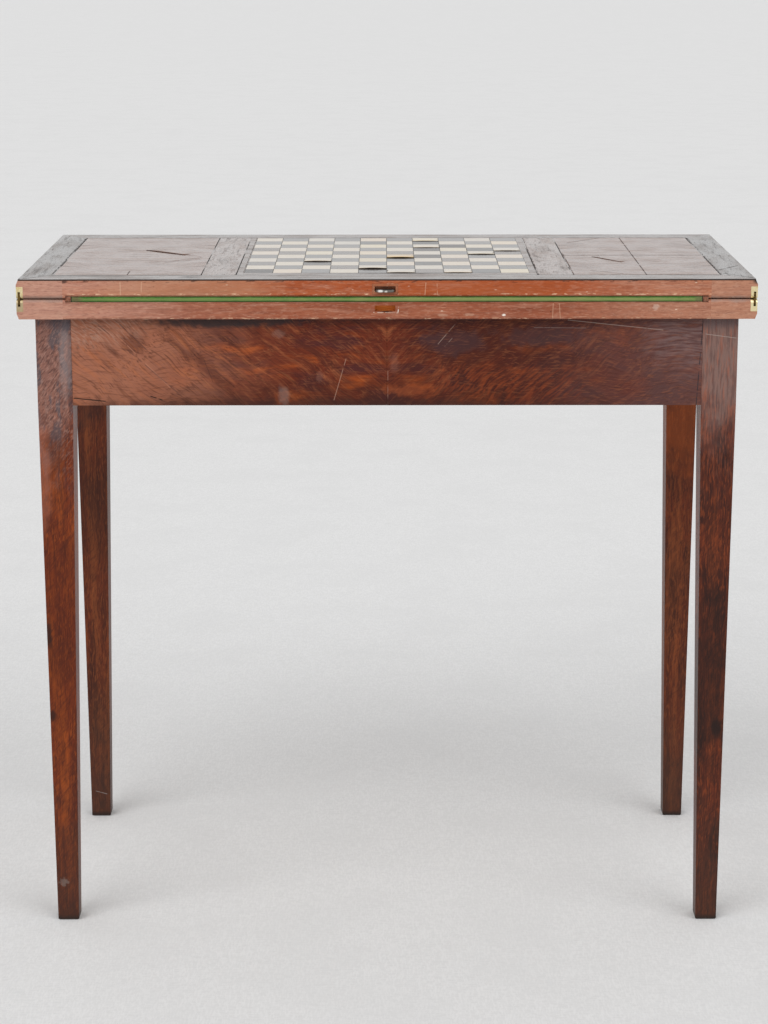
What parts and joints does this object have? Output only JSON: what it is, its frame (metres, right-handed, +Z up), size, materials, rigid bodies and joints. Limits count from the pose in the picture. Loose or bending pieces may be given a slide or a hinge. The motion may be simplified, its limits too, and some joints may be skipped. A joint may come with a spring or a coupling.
{
  "type": "folding games table",
  "caption": "Folding games table: hinged top with an inlaid draughts board, swivelling on a frame with square tapered legs.",
  "frame": {"origin": "on the floor under the middle of the closed top", "axes": "+Z up, +X along the table, -Y towards the hinge edge"},
  "size_m": [0.8, 0.405, 0.742],
  "materials": {
    "leg_wood": "French-polished mahogany, worn",
    "carcase_wood": "planed pine and oak, unfinished",
    "peg_wood": "riven oak",
    "rail_veneer": "flame mahogany veneer, polished",
    "leaf_wood": "mahogany, waxed and worn at the edges",
    "patch_wood": "hardwood block let into the edge",
    "border_veneer": "walnut crossbanding, polished",
    "panel_veneer": "quarter-matched mahogany veneer, polished",
    "strip_veneer": "cross-grained burr veneer, polished",
    "line_wood": "ebonised stringing",
    "light_inlay": "holly, polished",
    "dark_inlay": "stained hardwood, polished",
    "baize": "green wool baize",
    "tape_leather": "brown leather tape",
    "hinge_brass": "aged brass",
    "tongue_steel": "filed steel",
    "swivel_iron": "blacked iron"
  },
  "bodies": {
    "frame": {"leg_front_left": "leg_wood", "leg_front_right": "leg_wood", "leg_rear_left": "leg_wood", "leg_rear_right": "leg_wood", "rail_front": "carcase_wood", "rail_left": "carcase_wood", "rail_rear": "carcase_wood", "rail_right": "carcase_wood", "veneer_front_left": "rail_veneer", "veneer_front_right": "rail_veneer", "veneer_left": "rail_veneer", "veneer_rear": "rail_veneer", "veneer_right": "rail_veneer", "cross_rail": "carcase_wood", "well_floor": "carcase_wood", "floor_bearers": "carcase_wood", "tenon_pegs": "peg_wood"},
    "lower_leaf": {"lower_baize": "baize", "lower_clamp_left": "leaf_wood", "lower_clamp_right": "leaf_wood", "lower_core": "leaf_wood", "lower_hinge_left": "hinge_brass", "lower_hinge_pins": "hinge_brass", "lower_hinge_right": "hinge_brass", "lower_hinge_screws": "hinge_brass", "swivel_plate": "swivel_iron", "swivel_bolt": "swivel_iron", "swivel_washer": "swivel_iron", "swivel_nut": "swivel_iron", "swivel_screws": "swivel_iron", "stop_peg": "peg_wood"},
    "hinge_links": {"hinge_link_left": "hinge_brass", "hinge_link_right": "hinge_brass", "fold_baize": "baize", "fold_tapes": "tape_leather"},
    "upper_leaf": {"align_block": "patch_wood", "align_tongue": "tongue_steel", "board_bands": "line_wood", "border_front": "border_veneer", "border_left": "border_veneer", "border_rear": "border_veneer", "border_right": "border_veneer", "cross_strips": "strip_veneer", "dark_squares": "dark_inlay", "light_squares": "light_inlay", "panel_left": "panel_veneer", "panel_right": "panel_veneer", "stringing": "line_wood", "upper_baize": "baize", "upper_clamp_left": "leaf_wood", "upper_clamp_right": "leaf_wood", "upper_core": "leaf_wood", "upper_hinge_left": "hinge_brass", "upper_hinge_pins": "hinge_brass", "upper_hinge_right": "hinge_brass", "upper_hinge_screws": "hinge_brass"}
  },
  "joints": [
    {"name": "top_swivel", "type": "hinge", "parent": "frame", "child": "lower_leaf", "pos_m": [-0.1, -0.1, 0.6873], "axis": [0, 0, 1], "range_deg": [0, 90]},
    {"name": "link_turn", "type": "hinge", "parent": "lower_leaf", "child": "hinge_links", "pos_m": [0, -0.196, 0.7158], "axis": [1, 0, 0], "range_deg": [0, 90], "deforming": ["fold_baize", "fold_tapes"]},
    {"name": "leaf_fold", "type": "hinge", "parent": "hinge_links", "child": "upper_leaf", "pos_m": [0, -0.196, 0.7248], "axis": [1, 0, 0], "range_deg": [0, 90]}
  ],
  "couplings": [
    {"joint": "leaf_fold", "follows": "link_turn", "ratio": 1}
  ]
}
